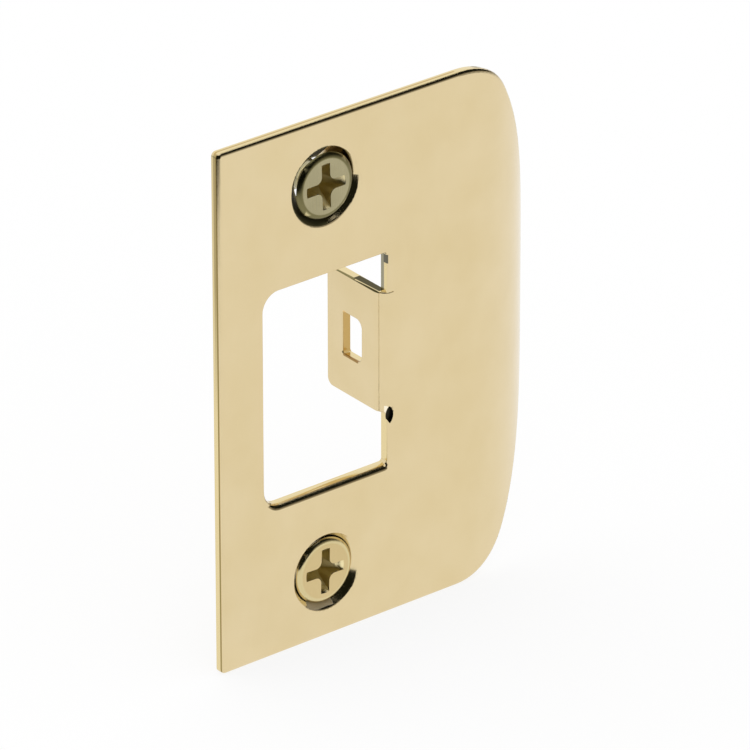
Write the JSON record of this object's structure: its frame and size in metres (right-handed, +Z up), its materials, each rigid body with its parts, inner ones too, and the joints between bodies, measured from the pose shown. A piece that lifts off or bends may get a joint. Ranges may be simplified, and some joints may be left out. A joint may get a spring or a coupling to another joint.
{
  "type": "strike plate",
  "caption": "Full-lip door strike plate in brass with a rectangular latch opening, a slotted tab folded back beside it, and flat-head screws in dimpled holes.",
  "frame": {"origin": "half way between the two screw holes, on the plate's back face", "axes": "+X from the plain edge towards the curved lip, +Y back into the door jamb, +Z up along the plate"},
  "size_m": [0.0442, 0.0131, 0.0572],
  "materials": {
    "plate_brass": "polished plate",
    "screw_brass": "bright plate"
  },
  "bodies": {
    "root": {"strike_plate": "plate_brass", "screw_upper": "screw_brass", "screw_lower": "screw_brass"}
  },
  "joints": []
}
